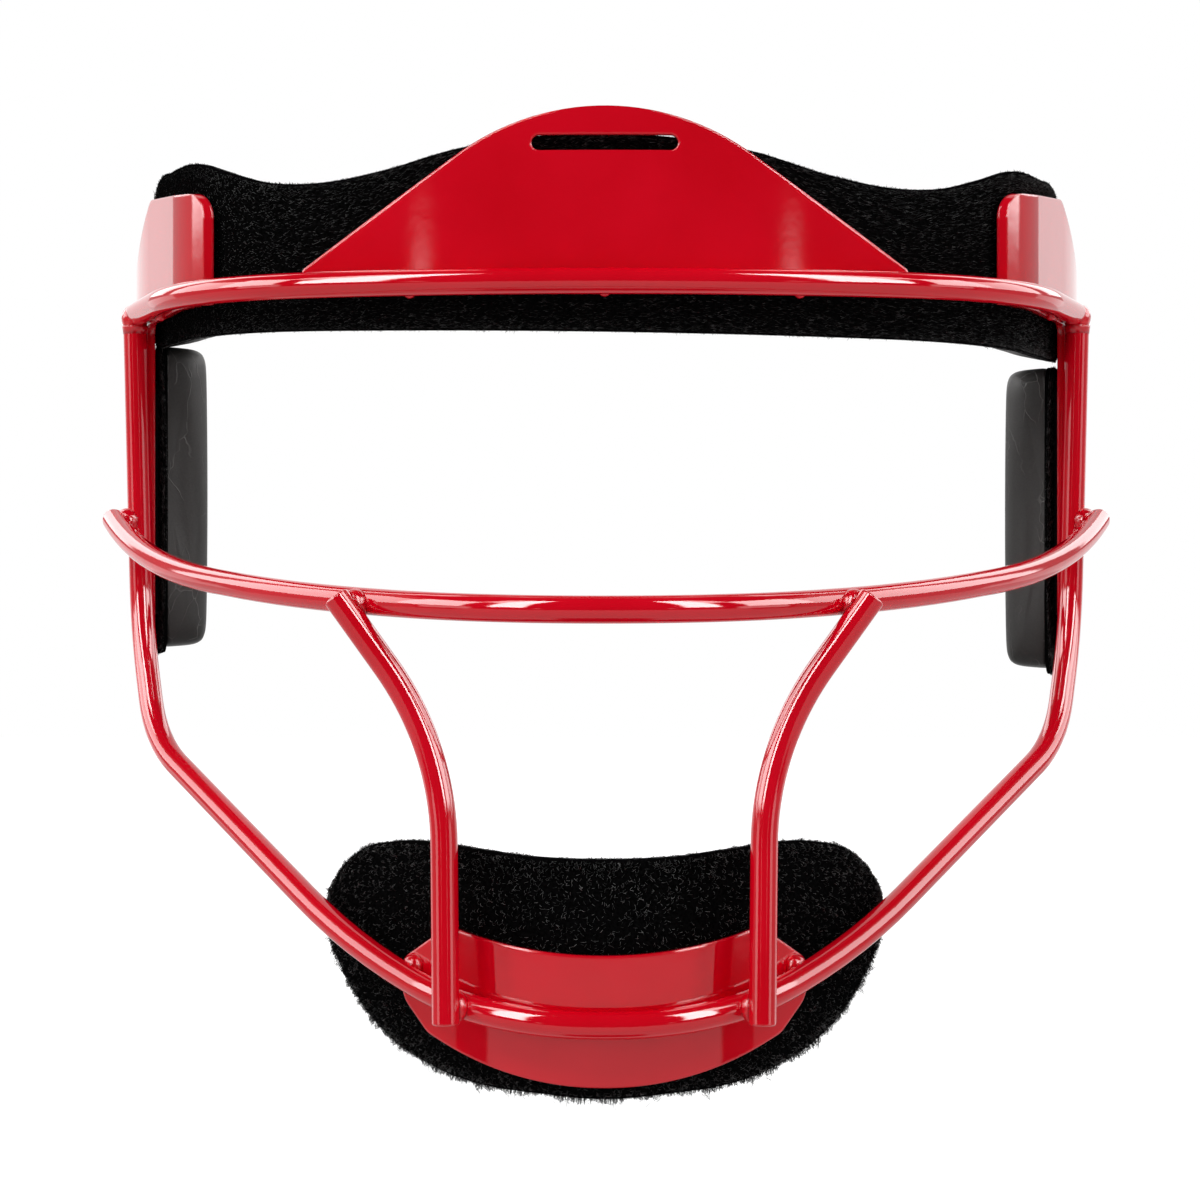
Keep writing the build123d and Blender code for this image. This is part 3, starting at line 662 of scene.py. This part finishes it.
velour, spot, shader = new_finish("black_loop_fabric")
nap = spot.add("ShaderNodeTexNoise", None, {"Vector": spot, "Scale": 1800.0, "Detail": 4.0})
nap_bumps = spot.add("ShaderNodeBump", None, {"Strength": 1.0, "Distance": 0.0003, "Height": nap})
shade = spot.add("ShaderNodeValToRGB", {"stops": [(0.35, (0.001,) * 3), (0.75, (0.004, 0.004, 0.0042))]},
                 {"Fac": nap})
feed(shader, Base_Color=shade, Roughness=1.0, Specular_IOR_Level=0.0, Normal=nap_bumps)


def fibre_finish(name, glow):
    """Black fibres, a few of them painted grey at random: painted glints where fibres would catch the light.
    """
    material, spot, shader = new_finish(name)
    painted_glints = spot.add("ShaderNodeTexNoise", None, {"Vector": spot, "Scale": 900.0, "Detail": 2.0})
    # The lighter stops, up to the glow, are painted glints.
    stops = [(0.3, (0.003,) * 3), (0.5, (0.25 * glow,) * 3), (0.68, (glow,) * 3)]
    shade = spot.add("ShaderNodeValToRGB", {"stops": stops}, {"Fac": painted_glints})
    feed(shader, Base_Color=shade, Roughness=0.7, Specular_IOR_Level=0.05)
    return material


# The number with each finish is the grey of its painted glints.
fibres = {
    "velour": fibre_finish("black_velour_fibre", 0.055),
    "open_loops": fibre_finish("black_loop_fibre", 0.13),
}

foam, spot, shader = new_finish("black_foam")
pores = spot.add("ShaderNodeTexVoronoi", None, {"Vector": spot, "Scale": 1700.0})
pore_bumps = spot.add("ShaderNodeBump", None, {"Strength": 0.8, "Distance": 0.0004, "Height": pores})
feed(shader, Base_Color=(0.02, 0.02, 0.02, 1), Roughness=1.0, Normal=pore_bumps)

# Shares of a pad's length, height and thickness, as (along, low, high, thickness). The forehead and chin
# tables run from the middle to one end, and the side table from end to end.
forehead_shares = [
    (0.0, 0.0, 1.0, 1.0), (0.197, 0.0, 0.921, 1.0), (0.295, 0.0, 0.818, 1.0), (0.38, 0.0, 0.766, 1.0),
    (0.456, 0.0, 0.776, 1.0), (0.538, 0.0, 0.847, 1.0), (0.61, 0.0, 0.918, 1.0), (0.695, 0.005, 0.955, 1.0),
    (0.82, 0.017, 0.982, 1.0), (0.925, 0.03, 0.992, 0.92), (0.97, 0.05, 0.95, 0.78), (1.0, 0.12, 0.84, 0.5),
]
side_shares = [
    (0.0, 0.05, 0.95, 0.6), (0.07, 0.015, 0.985, 0.86), (0.22, 0.0, 1.0, 1.0), (0.5, 0.0, 1.0, 1.03),
    (0.78, 0.0, 1.0, 1.0), (0.93, 0.015, 0.985, 0.86), (1.0, 0.05, 0.95, 0.6),
]
chin_shares = [
    (0.0, 0.0, 1.0, 1.0), (0.197, 0.02, 1.007, 1.0), (0.38, 0.04, 1.03, 1.0), (0.583, 0.096, 1.048, 1.0),
    (0.732, 0.177, 1.034, 0.96), (0.865, 0.32, 0.984, 0.86), (0.944, 0.459, 0.899, 0.7),
    (1.0, 0.596, 0.796, 0.45),
]

# For each pad: its track and how far inside it the pad starts, the kind of its loop fabric, rows of its
# grid, length of its rounded ends, how much its sides draw in, how far its fabric hangs below it, fibres
# in its pile and fringe, the fringe's mean length and what share of that is left along the top, and
# which way its pile lies, along and up.
brow_pad = {"track": brow_track, "front": brow_front, "near": 6.65, "fabric": "velour"}
side_pad = {
    **brow_pad, "rows": 44, "end_round": 2.5, "draw": 0.02, "tail": 1.3,
    "strands": (5000, 2000), "fringe": 0.3, "top_fringe": 1.0, "lay": (0.0, 1.0),
}
pads = {
    "forehead_pad": {
        **brow_pad, "rows": 190, "end_round": 3.5, "draw": 0.09, "tail": 0.0,
        "strands": (23000, 7000), "fringe": 0.2, "top_fringe": 0.8, "lay": (1.0, 0.0),
        "stations": pad_stations(
            forehead_shares, (-1, 1), start=0, length=152.5, base=51.4, height=38.0, thickness=10.0,
            low_tilt=0.0145, high_tilt=0.009),
    },
    "left_side_pad": {
        **side_pad,
        "stations": pad_stations(
            side_shares, (-1,), start=135.58, length=33.0, base=-10.0, height=64.4, thickness=11.0),
    },
    "right_side_pad": {
        **side_pad,
        "stations": pad_stations(
            side_shares, (1,), start=135.58, length=33.0, base=-14.6, height=64.4, thickness=11.0),
    },
    "chin_pad": {
        "track": chin_track, "front": chin_front, "near": 6.85, "fabric": "open_loops",
        "rows": 110, "end_round": 4.0, "draw": 0.09, "tail": 0.0,
        "strands": (9500, 6500), "fringe": 0.65, "top_fringe": 0.35, "lay": (1.0, 0.0),
        "stations": pad_stations(
            chin_shares, (-1, 1), start=0, length=71.0, base=-90.5, height=43.6, thickness=10.0),
    },
}
side_columns, back_columns = 3, 26
fabric = layer_profile(side_columns, back_columns, side_power=30.0, back_power=9.0, crown=0.0, draw=0.0)
top_column, bottom_column = side_columns - 1, side_columns + back_columns
chance = np.random.default_rng(7)
for name, pad in pads.items():
    # Cushion and core: a pad's grid has its faces inward, where the pressure acts, so they're turned after.
    cushion = layer_profile(7, 34, side_power=20.0, back_power=7.0, crown=0.08, draw=pad["draw"])
    points = pad_grid(pad, pad["near"], 0.0, cushion)
    vertices, faces = closed_grid(points)
    cover = new_piece(name + "_cushion", vertices, faces, name, vinyl, [name + "_cover"])
    held = np.concatenate([np.tile(cushion[0] == 0, len(points)), [True, True]])
    draw_in(cover, held, draw_in_limit)
    cover.data.flip_normals()
    finer = cover.modifiers.new("finer", "SUBSURF")
    finer.levels = 1
    finer.render_levels = 1
    vertices, faces = closed_grid(pad_grid(pad, pad["near"], cover_thickness, cushion))
    core = new_piece(name + "_core", vertices, faces, name, foam, [name + "_foam"])
    core.data.flip_normals()

    # Loop fabric: it grows the other way, toward the steel, so its faces already look outward.
    skin = {**pad, "stations": pad["stations"].copy()}
    skin["stations"][:, 3] = -loop_thickness
    skin["stations"][:, 1] -= pad["tail"]
    points = pad_grid(skin, pad["near"], 0.0, fabric)
    vertices, faces = closed_grid(points)
    layer = new_piece(name + "_fabric", vertices, faces, name, velour, [name + "_loop"])

    # Pile: short fibres that lie along the brushed velour, or open loops on the chin's coarser cloth,
    # each with its own size and drift, and a fringe of cut ends round the edge, in uneven clumps.
    count, fringe_count = pad["strands"]
    place, out, along, upward = cloth_places(points, (top_column + 2, bottom_column - 1), count, chance)
    edge, away, face, line, clump = edge_places(points, top_column, bottom_column, fringe_count, chance)
    lower = np.where(away[:, 2:] > 0.5, pad["top_fringe"], 1.0)
    drift, sway, size = chance.normal(0, 0.35, (3, count, 1))
    size = np.abs(size) + 0.6
    fringe_size = chance.gamma(5.0, pad["fringe"] / 5, (fringe_count, 1)) * clump * lower
    curl = chance.normal(0, 0.3, (2, fringe_count, 1))
    if pad["fabric"] == "open_loops":
        heading = along * np.cos(drift * 9) + upward * np.sin(drift * 9)
        share = np.linspace(0, 1, 4)[None, :, None]
        loop_span, loop_rise, loop_sink, curl_turn = 0.75, 0.55, 0.05, 3.4
        paths = (place[:, None] + (heading * size * loop_span)[:, None] * (share - 0.5)
                 + (out * size * loop_rise)[:, None] * np.sin(share * math.pi) - (out * loop_sink)[:, None])
        fringe = (edge[:, None] + (away * fringe_size)[:, None] * share
                  + ((line * curl[0] + face * curl[1]) * fringe_size)[:, None] * np.sin(share * curl_turn))
        widths = [0.045, 0.045, 0.045, 0.035]
    else:
        lay = along * pad["lay"][0] + upward * pad["lay"][1] + upward * drift * 0.8
        share = np.linspace(0, 1, 2)[None, :, None]
        least_lift, more_lift = 0.28, 0.25
        lift = out * (least_lift + more_lift * np.abs(sway))
        paths = place[:, None] + ((lay + lift) * size)[:, None] * share
        fringe = edge[:, None] + ((away + line * curl[0] + face * curl[1]) * fringe_size)[:, None] * share
        widths = [0.06, 0.015]
    strands(name + "_pile", paths, widths, name, fibres[pad["fabric"]])
    strands(name + "_fringe", fringe, widths, name, fibres[pad["fabric"]])
